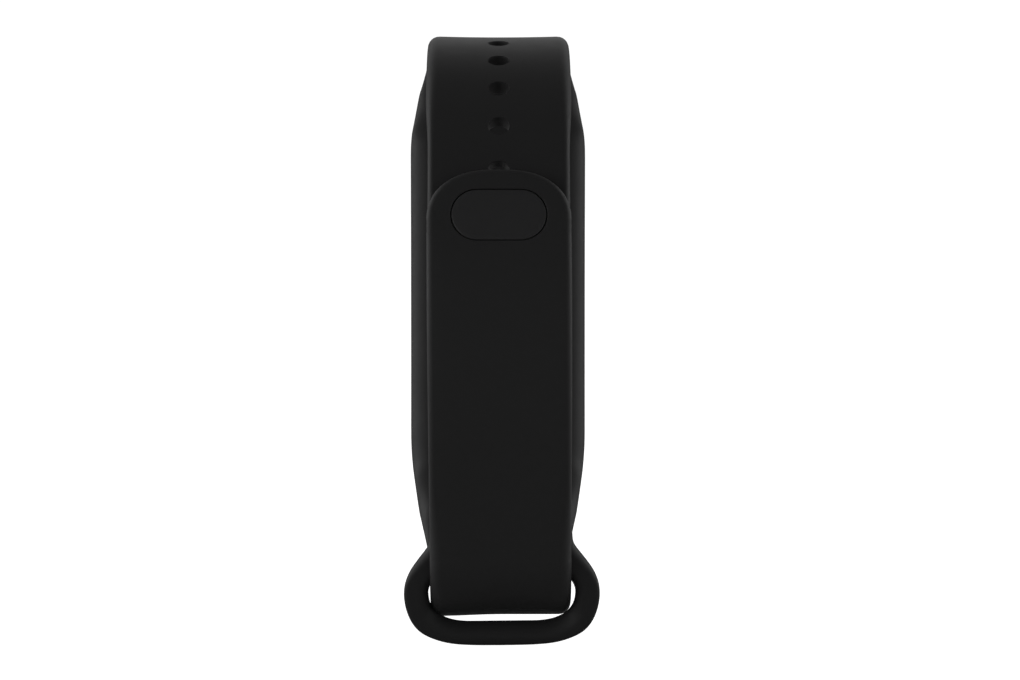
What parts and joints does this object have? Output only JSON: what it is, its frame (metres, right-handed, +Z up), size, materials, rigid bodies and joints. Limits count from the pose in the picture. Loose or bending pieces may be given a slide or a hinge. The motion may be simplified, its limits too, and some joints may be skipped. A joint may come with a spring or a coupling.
{
  "type": "fitness tracker band",
  "caption": "Moulded silicone wrist band with ring-and-stud clasp, adjustment holes and a removable sealed display capsule in its pocket.",
  "frame": {"origin": "middle of the wrist opening, halfway across the strap's width and on the strap's middle plane", "axes": "X runs along the wearer's arm, across the strap; -Y is the clasp side and +Y the display side; +Z runs up the closed loop, towards the end of the holed arm's top bend"},
  "size_m": [0.0226, 0.0544, 0.0707],
  "materials": {
    "silicone": "matte soft-touch silicone",
    "stud_plastic": "fine matte",
    "stud_metal": "brushed",
    "shell_plastic": "matte",
    "cover_glass": "polished, black tinted",
    "gasket_foam": "matte",
    "touch_layer": "clear film",
    "display": "black, gloss",
    "flex_amber": "amber film",
    "board_green": "solder mask",
    "connector_beige": "matte",
    "can_steel": "tinned",
    "chip_black": "moulded",
    "crystal_metal": "satin",
    "passive_tan": "fired ceramic with tinned ends",
    "antenna_ceramic": "fired ceramic",
    "cell_foil": "laminated foil",
    "tape": "foam tape",
    "nickel": "nickel strip",
    "gold": "gold plated",
    "magnet_nickel": "nickel plated",
    "lens_black": "polished dark window",
    "baffle_black": "light-absorbing",
    "led_green": "clear over green die",
    "photodiode_dark": "dark silicon",
    "motor_steel": "pressed steel",
    "ferrite": "sintered",
    "tungsten": "sintered tungsten",
    "rotor_resin": "moulded resin",
    "copper": "enamelled copper"
  },
  "bodies": {
    "strap": {"strap_pocket": "silicone", "holed_arm": "silicone", "tail_ring": "silicone", "tail_lower": "silicone"},
    "tail_1": {"tail_stretch_1": "silicone"},
    "tail_2": {"tail_stretch_2": "silicone"},
    "tail_tip": {"tail_end": "silicone", "stud_cap": "stud_plastic", "stud_pin": "stud_metal"},
    "capsule": {"rear_shell": "shell_plastic", "sensor_lens": "lens_black", "charge_contacts": "gold", "charge_magnets": "magnet_nickel", "bezel_frame": "shell_plastic", "front_glass": "cover_glass", "glass_gasket": "gasket_foam", "touch_film": "touch_layer", "display_panel": "display", "display_flex": "flex_amber", "main_board": "board_green", "display_connector": "connector_beige", "shield_can": "can_steel", "processor": "chip_black", "memory_chip": "chip_black", "crystal": "crystal_metal", "power_chip": "chip_black", "radio_chip": "chip_black", "motion_sensor": "chip_black", "passives": "passive_tan", "antenna": "antenna_ceramic", "battery_cell": "cell_foil", "battery_tape": "tape", "battery_tabs": "nickel", "sensor_board": "board_green", "light_baffle": "baffle_black", "green_leds": "led_green", "photodiode": "photodiode_dark", "motor_case": "motor_steel", "motor_cover": "motor_steel", "motor_shaft": "motor_steel", "motor_magnet": "ferrite"},
    "rotor": {"rotor_carrier": "rotor_resin", "rotor_weight": "tungsten", "rotor_coils": "copper"}
  },
  "joints": [
    {"name": "peel_low", "type": "hinge", "parent": "strap", "child": "tail_1", "pos_m": [0, -0.02208, -0.01886], "axis": [1, 0, 0], "range_deg": [0, 13.6], "stiffness_Nm_per_rad": 0.004},
    {"name": "peel_mid", "type": "hinge", "parent": "tail_1", "child": "tail_2", "pos_m": [0, -0.02435, -0.00798], "axis": [1, 0, 0], "range_deg": [0, 27.2]},
    {"name": "peel_tip", "type": "hinge", "parent": "tail_2", "child": "tail_tip", "pos_m": [0, -0.02446, 0.00321], "axis": [1, 0, 0], "range_deg": [0, 34]},
    {"name": "capsule_out", "type": "slide", "parent": "strap", "child": "capsule", "axis": [0, 1, 0], "range_m": [0, 0.02]},
    {"name": "rotor_spin", "type": "hinge", "parent": "capsule", "child": "rotor", "pos_m": [0, 0.0238, 0.0148], "axis": [0, 1, 0], "continuous": true}
  ],
  "couplings": [
    {"joint": "peel_mid", "follows": "peel_low", "ratio": 2},
    {"joint": "peel_tip", "follows": "peel_low", "ratio": 2.5}
  ]
}
